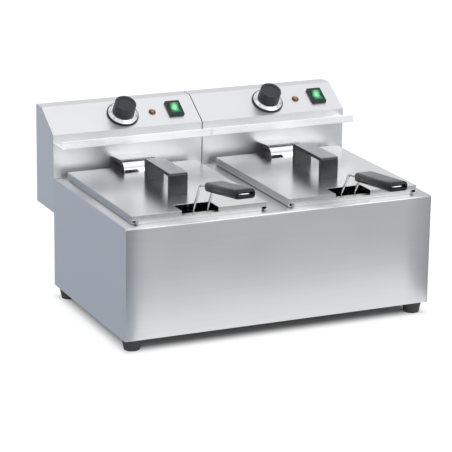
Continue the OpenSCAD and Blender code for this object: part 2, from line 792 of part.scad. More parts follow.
// moulded grip with a slot right through it for the wire loop
module basket_grip(side) {
    tilt = tilt_of(side);
    slot_t = wire_d + 2 * slip_gap;
    slot_w = 2 * handle_dx + slot_t;
    start = (bend_y - grip_y) / cos(tilt);
    color(plastic) at_basket(side) translate([0, bend_y, bend_of(side)]) rotate([90 - tilt, 0, 0])
        translate([0, 0, start]) difference() {
            linear_extrude(grip_l) rounded_rect(grip_w, grip_t, grip_r);
            translate([0, 0, -1]) linear_extrude(grip_l + 2) rounded_rect(slot_w, slot_t, slot_t / 2 - eps);
            translate([0, 0, grip_l - 2]) linear_extrude(3) rounded_rect(slot_w + 1, slot_t + 3, 3);
        }
}

// ---- lid ----

// folded lid: short front and rear flanges, taller sides with inward lips, two notches
module lid_panel(side) {
    side_h = lid_up - 1;
    end_h = lid_up - rim_rise;
    color(steel) at_side(side) translate([0, lid_mid_y, lid_z]) difference() {
        union() {
            translate([-lid_w / 2, -lid_l / 2, -lid_t]) cube([lid_w, lid_l, lid_t]);
            for (s = [-1, 1]) {
                translate([s * (lid_w / 2 - lid_t / 2), 0, -side_h / 2])
                    cube([lid_t, lid_l, side_h], center = true);
                translate([s * (lid_w - lip_w) / 2, 0, -side_h + lid_t / 2])
                    cube([lip_w, lid_l, lid_t], center = true);
                translate([0, s * (lid_l / 2 - lid_t / 2), -end_h / 2])
                    cube([lid_w - 2 * lid_t, lid_t, end_h], center = true);
            }
        }
        translate([-notch_w / 2, -lid_l / 2 - 1, -20]) cube([notch_w, notch_l + 1, 30]);
        translate([-hood_w / 2 - hood_gap, lid_l / 2 - lid_notch_back, -20])
            cube([hood_w + 2 * hood_gap, lid_notch_back + 1, 30]);
        handle_screw_places() translate([0, 0, -5]) cylinder(h = 10, d = lid_screw_d + 2 * slip_gap);
    }
}

// the handle's two screw places, from the lid's middle
module handle_screw_places() {
    for (y = [handle_leg_t / 2, handle_l - handle_leg_t / 2])
        translate([0, handle_front - lid_mid_y + y, 0]) children();
}

// flat moulded handle bridging front to rear
module lid_handle(side) {
    color(plastic) at_side(side) translate([0, lid_mid_y, lid_z]) difference() {
        translate([0, handle_front - lid_mid_y, 0]) along_x(handle_w) difference() {
            union() {
                square([handle_l, handle_h - handle_r]);
                translate([handle_r, 0]) square([handle_l - 2 * handle_r, handle_h]);
                for (y = [handle_r, handle_l - handle_r])
                    translate([y, handle_h - handle_r]) circle(handle_r);
            }
            translate([handle_leg_t, -1]) square([handle_l - 2 * handle_leg_t, handle_h - handle_t + 1]);
        }
        handle_screw_places() translate([0, 0, -1]) cylinder(h = 13, d = lid_screw_d + 2 * slip_gap);
    }
}

// two screws up through the lid into the handle's legs
module lid_screws(side) {
    color(polished) at_side(side) translate([0, lid_mid_y, lid_z]) handle_screw_places() {
        translate([0, 0, -lid_t - 2.4]) cylinder(h = 2.4, d = 2 * lid_screw_d);
        translate([0, 0, -lid_t - eps]) cylinder(h = 11, d = lid_screw_d);
    }
}

outer_casing();
base_plate();
feet();
foot_screws();
hanging_studs();
tank(left);  // left_tank
tank(right);  // right_tank
head_casing(left);  // left_head_casing
head_casing(right);  // right_head_casing
head_back(left);  // left_head_back
head_back(right);  // right_head_back
back_screws(left);  // left_back_screws
back_screws(right);  // right_back_screws
cable_gland(left);  // left_cable_gland
cable_gland(right);  // right_cable_gland
hanging_rail(left);  // left_hanging_rail
hanging_rail(right);  // right_hanging_rail
element_hood(left);  // left_element_hood
element_hood(right);  // right_element_hood
heating_element(left);  // left_heating_element
heating_element(right);  // right_heating_element
element_clamps(left);  // left_element_clamps
element_clamps(right);  // right_element_clamps
sensor_bulbs(left);  // left_sensor_bulbs
sensor_bulbs(right);  // right_sensor_bulbs
thermostat(left);  // left_thermostat
thermostat(right);  // right_thermostat
limit_cutout(left);  // left_limit_cutout
limit_cutout(right);  // right_limit_cutout
terminal_block(left);  // left_terminal_block
terminal_block(right);  // right_terminal_block
dial_base(left);  // left_dial_base
dial_base(right);  // right_dial_base
pilot_lamp(left);  // left_pilot_lamp
pilot_lamp(right);  // right_pilot_lamp
switch_body(left);  // left_switch_body
switch_body(right);  // right_switch_body
knob(left);  // left_knob
knob(right);  // right_knob
dial_ring(left);  // left_dial_ring
dial_ring(right);  // right_dial_ring
knob_shaft(left);  // left_knob_shaft
knob_shaft(right);  // right_knob_shaft
rocker(left);  // left_rocker
rocker(right);  // right_rocker
basket_mesh(left);  // left_basket_mesh
basket_mesh(right);  // right_basket_mesh
basket_frame(left);  // left_basket_frame
basket_frame(right);  // right_basket_frame
basket_handle(left);  // left_basket_handle
basket_handle(right);  // right_basket_handle
basket_grip(left);  // left_basket_grip
basket_grip(right);  // right_basket_grip
lid_panel(left);  // left_lid_panel
lid_panel(right);  // right_lid_panel
lid_handle(left);  // left_lid_handle
lid_handle(right);  // right_lid_handle
lid_screws(left);  // left_lid_screws
lid_screws(right);  // right_lid_screws
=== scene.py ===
# %% [markdown]
# # A twin-tank countertop deep fryer
# This lesson dresses a finished CAD model of a deep fryer. The CAD model is a fixed frame: it says
# where every sheet, wire and screw sits, in metres. Blender adds what a CAD model lacks: brushed
# steel, satin plastic, woven wire, softened edges and studio light.
#
# The first cell loads that frame.

# %% Load the frame
import json
import math

import bpy
import numpy as np
from mathutils import Matrix, Vector


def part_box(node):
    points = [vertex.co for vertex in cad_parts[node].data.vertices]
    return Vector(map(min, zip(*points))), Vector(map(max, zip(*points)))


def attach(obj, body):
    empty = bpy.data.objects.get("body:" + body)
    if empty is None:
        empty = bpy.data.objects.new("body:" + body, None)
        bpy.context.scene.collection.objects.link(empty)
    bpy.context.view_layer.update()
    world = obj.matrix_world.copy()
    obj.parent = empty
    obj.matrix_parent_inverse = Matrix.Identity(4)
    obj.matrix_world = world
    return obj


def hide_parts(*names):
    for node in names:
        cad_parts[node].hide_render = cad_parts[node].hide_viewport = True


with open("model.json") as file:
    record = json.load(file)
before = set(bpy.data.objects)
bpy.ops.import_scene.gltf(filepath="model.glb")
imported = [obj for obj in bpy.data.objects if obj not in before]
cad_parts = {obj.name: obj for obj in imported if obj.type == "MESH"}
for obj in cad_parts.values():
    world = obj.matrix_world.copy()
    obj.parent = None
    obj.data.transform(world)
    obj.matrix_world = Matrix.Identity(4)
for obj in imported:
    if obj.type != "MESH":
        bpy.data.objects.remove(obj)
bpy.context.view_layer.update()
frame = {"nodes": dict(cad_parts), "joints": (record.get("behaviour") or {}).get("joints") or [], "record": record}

nodes = frame["nodes"]
SIDES = ("left", "right")

# %% [markdown]
# ## Camera
# A product picture like this is taken from well back with a long lens, so that upright edges stay
# nearly parallel. The camera stands to the left of the fryer and a little above it.
#
# We place it from the cabinet's own box and build its matrix from three directions: back, right
# and up. That way makes it easy to roll the camera by the last fraction of a degree.

# %% Camera
AZIMUTH, ELEVATION, ROLL = (math.radians(a) for a in (-24.56, 16.35, 0.79))
LENS_MM, SENSOR_MM = 176.6, 36.0
CAMERA_OFFSET = Vector((-1.515, -3.094, 1.172))  # from the foot of the cabinet's front face

cabinet_lo, cabinet_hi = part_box("outer_casing")
front_foot = Vector(((cabinet_lo.x + cabinet_hi.x) / 2, cabinet_lo.y, cabinet_lo.z))
scene = bpy.context.scene


def camera_axes(azimuth, elevation, roll):
    back = Vector((math.sin(azimuth) * math.cos(elevation),
                   -math.cos(azimuth) * math.cos(elevation), math.sin(elevation)))
    right = (-back).cross(Vector((0, 0, 1))).normalized()
    up = right.cross(-back)
    rolled = Matrix.Rotation(roll, 3, back)
    return rolled @ right, rolled @ up, back


camera_data = bpy.data.cameras.new("studio_camera")
camera_data.lens, camera_data.sensor_width = LENS_MM, SENSOR_MM
camera_data.clip_start, camera_data.clip_end = 0.05, 60
camera = bpy.data.objects.new("studio_camera", camera_data)
scene.collection.objects.link(camera)
camera.matrix_world = Matrix.Translation(front_foot + CAMERA_OFFSET) @ Matrix(
    camera_axes(AZIMUTH, ELEVATION, ROLL)).transposed().to_4x4()
scene.camera = camera
print("camera at", [round(v, 3) for v in camera.location])

# %% [markdown]
# ## Node helpers
# Every finish below is a node tree that ends in one Principled shader. A few small helpers keep
# those trees short: they start a material, add a node or a sum, stretch noise along chosen
# directions, spread it over a range, and mix or shade colours.

# %% Node helpers


def new_finish(name, color, metallic, roughness, **sockets):
    """A material with a Principled shader whose constant values sit on its own sockets."""
    material = bpy.data.materials.new(name)
    material.use_nodes = True
    shader = material.node_tree.nodes["Principled BSDF"]
    for socket, value in {"Base Color": (*color, 1), "Metallic": metallic, "Roughness": roughness,
                          **sockets}.items():
        shader.inputs[socket].default_value = value
    material.diffuse_color = (*color, 1)
    return material, material.node_tree, shader


def add(tree, kind, links=(), **settings):
    """Adds one node, sets its properties and joins (socket, source) pairs to its inputs."""
    made = tree.nodes.new("ShaderNode" + kind)
    for key, value in settings.items():
        setattr(made, key, value)
    for socket, source in dict(links).items():
        if isinstance(source, (int, float, tuple)):
            made.inputs[socket].default_value = source
        else:
            tree.links.new(source, made.inputs[socket])
    return made


def math_node(tree, operation, *values):
    return add(tree, "Math", dict(enumerate(values)), operation=operation).outputs[0]


def stretched_noise(tree, vector, scale, detail=3.0):
    """Noise whose grains are as long as 1/scale along each direction, in metres."""
    stretched = add(tree, "VectorMath", {0: vector, 1: scale}, operation="MULTIPLY").outputs[0]
    noise = add(tree, "TexNoise", {"Vector": stretched, "Scale": 1.0, "Detail": detail})
    return noise.outputs["Fac"]


def remap(tree, value, low, high):
    """Spreads the middle of a noise value over low to high."""
    return add(tree, "MapRange", {"Value": value, "From Min": 0.3, "From Max": 0.7, "To Min": low,
                                  "To Max": high}).outputs["Result"]


def tint(tree, factor, dark, light):
    mixed = add(tree, "Mix", {"Factor": factor}, data_type="RGBA")
    mixed.inputs["A"].default_value, mixed.inputs["B"].default_value = (*dark, 1), (*light, 1)
    return mixed.outputs["Result"]


def shade(color, factor):
    return tuple(c * factor for c in color)


print("helpers ready")

# %% [markdown]
# ## Brushed steel
# The cabinet, the control heads and the lids are stainless sheet brushed along its length. The
# brush leaves thousands of fine grooves, and they do two things: they make faint streaks, and they
# smear reflections across the grooves but not along them.
#
# Streaks come from noise stretched a hundredfold along the brushing. A folded cabinet has its
# grooves along x on the front and the top and along y on its ends, so the surface's normal chooses
# the direction. The smear comes from the shader's anisotropy, with a tangent across the grooves.
#
# Thin sheet is never quite flat either: it rolls a little beside a fold, and a narrow strip leans.
# Both are too slight to model, so a second bump tilts the shading by that small angle.

# %% Grooves and folds


def brushed_vector(tree):
    """x runs along the grooves, y across them, whichever way the sheet faces."""
    place = add(tree, "TexCoord").outputs["Object"]
    point = add(tree, "SeparateXYZ", {0: place}).outputs
    normal = add(tree, "NewGeometry").outputs["Normal"]
    facing = math_node(tree, "ABSOLUTE", add(tree, "SeparateXYZ", {0: normal}).outputs["X"])
    end_face = add(tree, "MapRange", {"Value": facing, "From Min": 0.6, "From Max": 0.8},
                   interpolation_type="SMOOTHSTEP").outputs["Result"]
    flat_face = math_node(tree, "SUBTRACT", 1.0, end_face)
    along = math_node(tree, "ADD", math_node(tree, "MULTIPLY", point["X"], flat_face),
                      math_node(tree, "MULTIPLY", point["Y"], end_face))
    across = math_node(tree, "ADD", point["Z"], math_node(tree, "MULTIPLY", point["Y"], flat_face))
    return add(tree, "CombineXYZ", {0: along, 1: across, 2: 0.0}).outputs[0], place


def fold_roll(tree, place, half_width, reach, slope):
    """Height that falls away towards the folds at the ends of a long sheet."""
    x = add(tree, "SeparateXYZ", {0: place}).outputs["X"]
    inward = math_node(tree, "SUBTRACT", half_width, math_node(tree, "ABSOLUTE", x))
    near = add(tree, "MapRange", {"Value": inward, "From Min": 0.0, "From Max": reach,
                                  "To Min": 1.0, "To Max": 0.0}).outputs["Result"]
    return math_node(tree, "MULTIPLY", math_node(tree, "POWER", near, 2.0), -slope * reach / 2)


def lip_roll(tree, place, slope):
    """Height that falls with z, as if a level strip leaned back a little."""
    return math_node(tree, "MULTIPLY", add(tree, "SeparateXYZ", {0: place}).outputs["Z"], -slope)


print("grooves and folds ready")

# %% [markdown]
# ### One recipe for every brushed sheet
# Three sizes of noise make the brushing: coarse and fine streaks colour it, and the finest hairs
# raise it by a hundredth of a millimetre. A soft cloud on top keeps the polish uneven.
#
# The sheets differ in how closely brushed they are, so the casing, the heads and the rails each
# take their own numbers. The heads' steel is a little brighter than the rest and the rail's much
# brighter: painted light, for the light those sheets catch.

# %% Brushed steel
# grains per metre along and across the grooves
FINE, COARSE, HAIRS = (9.0, 1400.0, 1.0), (3.0, 260.0, 1.0), (22.0, 4200.0, 1.0)
GROOVE_DEPTH = 0.000012
STAINLESS = (0.66, 0.665, 0.68)
FOLD_REACH, FOLD_SLOPE, RAIL_LEAN = 0.050, 0.44, 0.09


def brushed_steel(name, color, roughness, anisotropy, streak, smear=0.05, fold=None, lean=None):
    material, tree, shader = new_finish(name, color, 1.0, roughness, Anisotropic=anisotropy)
    brushed, place = brushed_vector(tree)
    fine = stretched_noise(tree, brushed, FINE, 2.0)
    coarse = stretched_noise(tree, brushed, COARSE, 2.0)
    hairs = stretched_noise(tree, brushed, HAIRS, 1.0)
    cloud = stretched_noise(tree, place, (7.0, 7.0, 7.0), 4.0)
    streaks = math_node(tree, "ADD", math_node(tree, "MULTIPLY", fine, 0.55),
                        math_node(tree, "MULTIPLY", coarse, 0.45))
    tree.links.new(tint(tree, remap(tree, streaks, 0, 1), shade(color, 1 - streak),
                        shade(color, 1 + streak)), shader.inputs["Base Color"])
    rough = math_node(tree, "ADD", remap(tree, streaks, roughness - smear, roughness + smear),
                      remap(tree, cloud, -0.6 * smear, 0.6 * smear))
    tree.links.new(rough, shader.inputs["Roughness"])
    bump = add(tree, "Bump", {"Strength": 0.25, "Distance": GROOVE_DEPTH, "Height": hairs})
    if fold or lean:
        height = fold_roll(tree, place, *fold) if fold else lip_roll(tree, place, lean)
        bump = add(tree, "Bump", {"Strength": 1.0, "Distance": 1.0, "Normal": bump.outputs[0],
                                  "Height": height})
    tree.links.new(bump.outputs[0], shader.inputs["Normal"])
    across_grooves = add(tree, "CombineXYZ", {0: 0.0, 1: 0.12, 2: 1.0})
    tree.links.new(across_grooves.outputs[0], shader.inputs["Tangent"])
    return material


finish = {
    "cabinet_steel": brushed_steel("cabinet_steel", STAINLESS, 0.33, 0.45, 0.035),
    "lid_steel": brushed_steel("lid_steel", (0.71, 0.71, 0.715), 0.26, 0.30, 0.010, smear=0.008),
}
half_cabinet = (cabinet_hi.x - cabinet_lo.x) / 2
own_finish = {
    "outer_casing": brushed_steel("casing_steel", STAINLESS, 0.33, 0.50, 0.025, smear=0.025,
                                  fold=(half_cabinet, FOLD_REACH, FOLD_SLOPE)),
    # painted light: the rail takes a much brighter copy of the stainless
    "hanging_rail": brushed_steel("rail_steel", (0.88, 0.885, 0.90), 0.30, 0.30, 0.02,
                                  lean=RAIL_LEAN),
    # painted light: the heads take a slightly brighter copy of the stainless
    "head_casing": brushed_steel("head_steel", (0.68, 0.685, 0.70), 0.40, 0.45, 0.025, smear=0.03),
}
print("brushed finishes:", list(finish), "and one each for", list(own_finish))

# %% [markdown]
# ## Smooth metals
# The hood over the element, the wires, the tanks and the screws aren't brushed. What tells them
# apart is how smooth they are: a hood is polished, a wire is plated and bright, a pressed tank is
# dull where the sheet was drawn, and an element goes dark and patchy from heat.
#
# One function serves all of them. It mixes two shades with noise, and lets roughness wander with
# the same noise, because a smear dulls a surface as well as tinting it.

# %% Smooth metals


def smooth_metal(name, color, roughness, patch, spread, rough_spread, grain=0.0):
    material, tree, shader = new_finish(name, color, 1.0, roughness)
    place = add(tree, "TexCoord").outputs["Object"]
    smear = stretched_noise(tree, place, (patch,) * 3, 5.0)
    tree.links.new(tint(tree, remap(tree, smear, 0, 1), shade(color, 1 - spread),
                        shade(color, 1 + spread)), shader.inputs["Base Color"])
    tree.links.new(remap(tree, smear, roughness - rough_spread, roughness + rough_spread),
                   shader.inputs["Roughness"])
    if grain:
        speck = stretched_noise(tree, place, (2200.0,) * 3, 2.0)
        bump = add(tree, "Bump", {"Strength": grain, "Distance": 0.0002, "Height": speck})
        tree.links.new(bump.outputs[0], shader.inputs["Normal"])
    return material


finish.update({
    "polished_steel": smooth_metal("polished_steel", (0.80, 0.80, 0.805), 0.12, 30.0, 0.03, 0.05),
    "tank_steel": smooth_metal("tank_steel", (0.60, 0.60, 0.605), 0.29, 24.0, 0.03, 0.02, 0.02),
    "chrome_wire": smooth_metal("chrome_wire", (0.76, 0.755, 0.74), 0.14, 160.0, 0.06, 0.06, 0.05),
    "plated_screw": smooth_metal("plated_screw", (0.58, 0.58, 0.57), 0.32, 300.0, 0.10, 0.08, 0.15),
    "element_sheath": smooth_metal("element_sheath", (0.20, 0.19, 0.185), 0.42, 60.0, 0.30, 0.12,
                                   0.2),
    "bulb_copper": smooth_metal("bulb_copper", (0.60, 0.36, 0.22), 0.33, 90.0, 0.18, 0.10, 0.1),
    "dial_silver": smooth_metal("dial_silver", (0.80, 0.81, 0.84), 0.30, 120.0, 0.02, 0.04, 0.08),
})
print("metal finishes:", len(finish))

# %% [markdown]
# ## Plastics, rubber and lamp lenses
# The grips, the knobs and the lid handles are black phenolic moulded with a fine satin texture.
# The texture matters more than the colour: it breaks up highlights, so a black edge reads as
# soft grey. The same recipe with other numbers gives the nylon glands, the rubber feet and the
# ceramic terminal block.
#
# A lid handle's level faces look paler where they catch the light from above, so the recipe can
# blend in a lighter shade where a surface looks up: a painted sheen. The grips and the knobs keep
# their black, and have finishes of their own.

# %% Plastics


def moulded(name, color, roughness, grain_per_m, bump_strength, blush=0.12, painted_top_sheen=None,
            **sockets):
    material, tree, shader = new_finish(name, color, 0.0, roughness, **sockets)
    place = add(tree, "TexCoord").outputs["Object"]
    grain = stretched_noise(tree, place, (grain_per_m,) * 3, 3.0)
    cloud = stretched_noise(tree, place, (28.0,) * 3, 4.0)
    colored = tint(tree, remap(tree, cloud, 0, 1), shade(color, 1 - blush), shade(color, 1 + blush))
    # painted sheen: faces that look up get a lighter colour, standing in for the light from above
    if painted_top_sheen:
        up = add(tree, "SeparateXYZ", {0: add(tree, "NewGeometry").outputs["Normal"]}).outputs["Z"]
        level = add(tree, "MapRange", {"Value": up, "From Min": 0.6, "From Max": 0.97},
                    interpolation_type="SMOOTHSTEP").outputs["Result"]
        mixed = add(tree, "Mix", {"Factor": level}, data_type="RGBA")
        tree.links.new(colored, mixed.inputs["A"])
        mixed.inputs["B"].default_value = (*painted_top_sheen, 1)
        colored = mixed.outputs["Result"]
    tree.links.new(colored, shader.inputs["Base Color"])
    rough = math_node(tree, "ADD", remap(tree, cloud, roughness - 0.04, roughness + 0.05),
                      remap(tree, grain, -0.03, 0.03))
    tree.links.new(rough, shader.inputs["Roughness"])
    bump = add(tree, "Bump", {"Strength": bump_strength, "Distance": 0.0002, "Height": grain})
    tree.links.new(bump.outputs[0], shader.inputs["Normal"])
    return material


finish.update({
    # the handle's level faces take a lighter colour, a painted sheen
    "handle_plastic": moulded("handle_plastic", (0.011, 0.013, 0.018), 0.26, 1500.0, 0.05,
                              painted_top_sheen=(0.27, 0.285, 0.31), **{"Specular IOR Level": 0.55}),
    "grip_plastic": moulded("grip_plastic", (0.012, 0.013, 0.017), 0.27, 1500.0, 0.04,
                            **{"Specular IOR Level": 0.30}),
    "knob_plastic": moulded("knob_plastic", (0.026, 0.028, 0.036), 0.36, 1500.0, 0.08,
                            **{"Specular IOR Level": 0.35}),
    "black_nylon": moulded("black_nylon", (0.016, 0.017, 0.020), 0.42, 900.0, 0.10,
                           **{"Specular IOR Level": 0.35}),
    "foot_rubber": moulded("foot_rubber", (0.028, 0.028, 0.031), 0.68, 700.0, 0.35),
    "switch_gear": moulded("switch_gear", (0.70, 0.64, 0.50), 0.45, 500.0, 0.10),
    "terminal_ceramic": moulded("terminal_ceramic", (0.80, 0.78, 0.72), 0.22, 300.0, 0.05, 0.04),
})
own_finish.update({"knob": finish["knob_plastic"], "basket_grip": finish["grip_plastic"]})
print("moulded finishes:", len(finish))

# %% [markdown]
# ### Lenses
# A lamp behind a ribbed green window shines through the rocker, and the pilot lamp is a domed
# amber lens. We let the colour depend on how far a point is from the lens's middle: pale in the
# middle, deep round the rim, a painted highlight and painted shade. Only the rocker is lit, so only
# it gives off light, and that light is partly its lamp and partly the painted highlight.

# %% Lenses
# the pale middle is a painted highlight; on the rocker it is partly its lamp as well
SQUEEZE = (1.25, 0.8, 0.8)  # makes the pale middle an upright oval
ROCKER_DOWN = 0.009  # from a rocker's top edge to its lit middle
LAMP_IN, LAMP_DOWN = 0.0062, 0.0042  # from a pilot lamp's front and top to its middle


def lens(name, middles, near, far, deep, pale, lit):
    material, tree, shader = new_finish(name, pale, 0.0, 0.22, **{"Specular IOR Level": 0.4})
    place = add(tree, "TexCoord").outputs["Object"]
    nearest = None
    for middle in middles:
        offset = add(tree, "VectorMath", {0: place, 1: tuple(middle)}, operation="SUBTRACT")
        squeezed = add(tree, "VectorMath", {0: offset.outputs[0], 1: SQUEEZE}, operation="MULTIPLY")
        length = add(tree, "VectorMath", {0: squeezed.outputs[0]}, operation="LENGTH")
        reach = length.outputs["Value"]
        nearest = reach if nearest is None else math_node(tree, "MINIMUM", nearest, reach)
    # pale middle and deep rim: a painted highlight and painted shade on each lens
    glow = add(tree, "MapRange", {"Value": nearest, "From Min": near, "From Max": far,
                                  "To Min": 1.0, "To Max": 0.0},
               interpolation_type="SMOOTHSTEP").outputs["Result"]
    ribs = stretched_noise(tree, place, (900.0, 60.0, 60.0), 1.0)
    uneven = math_node(tree, "MULTIPLY", glow, remap(tree, ribs, 0.8, 1.1))
    colored = tint(tree, uneven, deep, pale)
    tree.links.new(colored, shader.inputs["Base Color"])
    tree.links.new(colored, shader.inputs["Emission Color"])
    shader.inputs["Emission Strength"].default_value = lit
    return material


rocker_middles, lamp_middles = [], []
for side in SIDES:
    low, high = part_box(f"{side}_rocker")
    rocker_middles.append(Vector(((low.x + high.x) / 2, (low.y + high.y) / 2,
                                  high.z - ROCKER_DOWN)))
    low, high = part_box(f"{side}_pilot_lamp")
    lamp_middles.append(Vector(((low.x + high.x) / 2, low.y + LAMP_IN,
                                high.z - LAMP_DOWN)))
finish["green_lens"] = lens("green_lens", rocker_middles, 0.002, 0.0105, (0.006, 0.15, 0.045),
                            (0.28, 0.84, 0.44), 0.26)
finish["amber_lens"] = lens("amber_lens", lamp_middles, 0.0015, 0.0062, (0.10, 0.035, 0.004),
                            (0.56, 0.25, 0.010), 0.0)
print("rocker lamps at", [[round(c, 3) for c in m] for m in rocker_middles])

# %% [markdown]
# ## Finishes and softened edges on the CAD pieces
# The record says which finish each piece takes. A CAD edge is perfectly sharp, and a real folded
# or moulded edge never is: it carries a thin bright line. A Bevel modifier gives the pieces listed
# with a width that line without touching their mesh.
#
# The pieces arrive as triangles with split corners. So a Weld comes first, then a planar Decimate
# that joins the triangles of one flat face, and a Weighted Normal comes last, which keeps flat
# faces flat.

# %% Dress the CAD pieces
EDGE_MM = {  # how far each piece's edges are rounded
    "lid_panel": 0.35, "lid_handle": 1.1, "hanging_rail": 0.4, "element_hood": 0.35,
    "head_casing": 0.5, "head_back": 0.35, "outer_casing": 0.25, "tank": 0.3, "base_plate": 0.3,
    "feet": 0.8, "knob": 0.6, "dial_ring": 0.3, "dial_base": 0.3, "pilot_lamp": 0.35,
    "switch_body": 0.6, "rocker": 0.5, "cable_gland": 0.5, "element_clamps": 0.5,
    "terminal_block": 0.5, "thermostat": 0.8, "limit_cutout": 0.8, "knob_shaft": 0.3,
}
WELD_M, FLAT_DEGREES = 1e-6, 0.5  # corners this close are one, faces this level are one
EDGE_DEGREES, EDGE_STEPS = 28, 3  # folds sharper than this are rounded in this many steps
FLAT_FACE_WEIGHT = 80


def soften(node, width_mm):
    piece = nodes[node]
    weld = piece.modifiers.new("weld", "WELD")
    weld.merge_threshold = WELD_M
    flat = piece.modifiers.new("whole_faces", "DECIMATE")
    flat.decimate_type, flat.angle_limit = "DISSOLVE", math.radians(FLAT_DEGREES)
    if width_mm:
        bevel = piece.modifiers.new("soft_edges", "BEVEL")
        bevel.width, bevel.segments = width_mm / 1000, EDGE_STEPS
        bevel.limit_method, bevel.angle_limit = "ANGLE", math.radians(EDGE_DEGREES)
        bevel.use_clamp_overlap = True
        bevel.miter_outer = "MITER_ARC"
    piece.modifiers.new("even_shading", "WEIGHTED_NORMAL").weight = FLAT_FACE_WEIGHT


slot_of = {part["node"]: part["material_slot"] for part in frame["record"]["subparts"]}
for node, piece in nodes.items():
    piece.data.materials.clear()
    piece.data.materials.append(finish[slot_of[node]])
    kind = node.removeprefix("left_").removeprefix("right_")
    if kind in own_finish:
        piece.data.materials[0] = own_finish[kind]
    soften(node, EDGE_MM.get(kind, 0))
print("dressed", len(nodes), "pieces in", len(set(slot_of.values())), "finishes")

# %% [markdown]
# ## Tubes along a path
# A fryer basket is all wire. Each wire is a path and a round section, so one function makes any of
# them: it carries a ring of points along the path without twisting it, and skins the rings.
# A second function rounds the corners of a path, as a bending tool does.

# %% Wire helpers


def rounded_path(corners, radius, closed=False, steps=7):
    """Replaces each corner of a path by an arc."""
    points, count = [], len(corners)
    for i, corner in enumerate(corners):
        if not closed and i in (0, count - 1):
            points.append(corner.copy())
            continue
        before, after = (corners[i - 1] - corner), (corners[(i + 1) % count] - corner)
        half = before.angle(after) / 2
        reach = min(radius / math.tan(half), before.length * 0.49, after.length * 0.49)
        arc_radius = reach * math.tan(half)
        middle = corner + (before.normalized() + after.normalized()).normalized() * (
            arc_radius / math.sin(half))
        start = corner + before.normalized() * reach - middle
        end = corner + after.normalized() * reach - middle
        for k in range(steps + 1):
            spoke = start.normalized().slerp(end.normalized(), k / steps)
            points.append(middle + spoke * arc_radius)
    return points


def tube(points, radius, sides=10, closed=False, caps=True):
    """Vertices and faces of a round wire along the points."""
    count = len(points)
    tangents = []
    for i in range(count):
        ahead = points[(i + 1) % count] if closed or i < count - 1 else points[i]
        behind = points[i - 1] if closed or i > 0 else points[i]
        tangents.append((ahead - behind).normalized())
    normal = tangents[0].orthogonal().normalized()
    verts, faces = [], []
    for i, (point, tangent) in enumerate(zip(points, tangents)):
        if i:
            normal = tangents[i - 1].rotation_difference(tangent) @ normal
        normal = (normal - tangent * normal.dot(tangent)).normalized()
        other = tangent.cross(normal)
        for k in range(sides):
            angle = 2 * math.pi * k / sides
            verts.append(point + (normal * math.cos(angle) + other * math.sin(angle)) * radius)
    for i in range(count if closed else count - 1):
        for k in range(sides):
            a, b = i * sides, (i + 1) % count * sides
            faces.append((a + k, a + (k + 1) % sides, b + (k + 1) % sides, b + k))
    if caps and not closed:
        faces += [tuple(range(sides))[::-1], tuple(range((count - 1) * sides, count * sides))]
    return verts, faces


def join_parts(parts):
    verts, faces = [], []
    for part_verts, part_faces in parts:
        base = len(verts)
        verts += part_verts
        faces += [tuple(base + v for v in face) for face in part_faces]
    return verts, faces


def make_piece(name, verts, faces, slot, body):
    """A new smooth-shaded piece that takes a finish and rides on a body."""
    mesh = bpy.data.meshes.new(name)
    mesh.from_pydata([tuple(v) for v in verts], [], faces)
    mesh.shade_smooth()
    mesh.set_sharp_from_angle(angle=math.radians(40))
    mesh.materials.append(finish[slot])
    piece = bpy.data.objects.new(name, mesh)
    scene.collection.objects.link(piece)
    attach(piece, body)
    return piece


print("wire helpers ready")

# %% [markdown]
# ## Woven baskets
# The mesh is plain weave: every wire goes over one and under the next. The CAD model holds only a
# thin box in its place. We lay upright wires and rings round a rounded rectangle, and let them
# step outward or inward by turns at each crossing, then close the bottom with a flat weave.

# %% Even steps round a basket
CORNER = 0.020


def outline_points(half_x, half_y, corner, count):
    """Evenly spaced (point, outward direction) pairs round a rounded rectangle."""
    sharp = [Vector((x * half_x, y * half_y, 0)) for x, y in ((-1, -1), (1, -1), (1, 1), (-1, 1))]
    dense = rounded_path(sharp, corner, closed=True, steps=24)
    dense.append(dense[0])
    lengths = np.concatenate([[0], np.cumsum([(b - a).length for a, b in zip(dense, dense[1:])])])
    found = []
    for k in range(count):
        at = lengths[-1] * k / count
        i = min(int(np.searchsorted(lengths, at, side="right")) - 1, len(dense) - 2)
        step = dense[i + 1] - dense[i]
        found.append((dense[i] + step * ((at - lengths[i]) / step.length),
                      Vector((step.y, -step.x, 0)).normalized()))
    return found


print("outline ready, corners of", CORNER * 1000, "mm")

# %% [markdown]
# ### Over one, under the next
# Whether a wire stands out or in at a crossing depends only on whether the two wires' numbers add
# up to an odd or an even number. The rings and the uprights use that rule with opposite signs.

# %% Woven mesh
WIRE, WEAVE, PITCH = 0.00050, 0.00042, 0.008  # wire's radius, its swing, and the mesh's spacing
SPARE = 0.0001  # keeps the mesh this far inside its CAD box


def step(i, j):
    """How far wire i stands out where it crosses wire j."""
    return WEAVE if (i + j) % 2 else -WEAVE


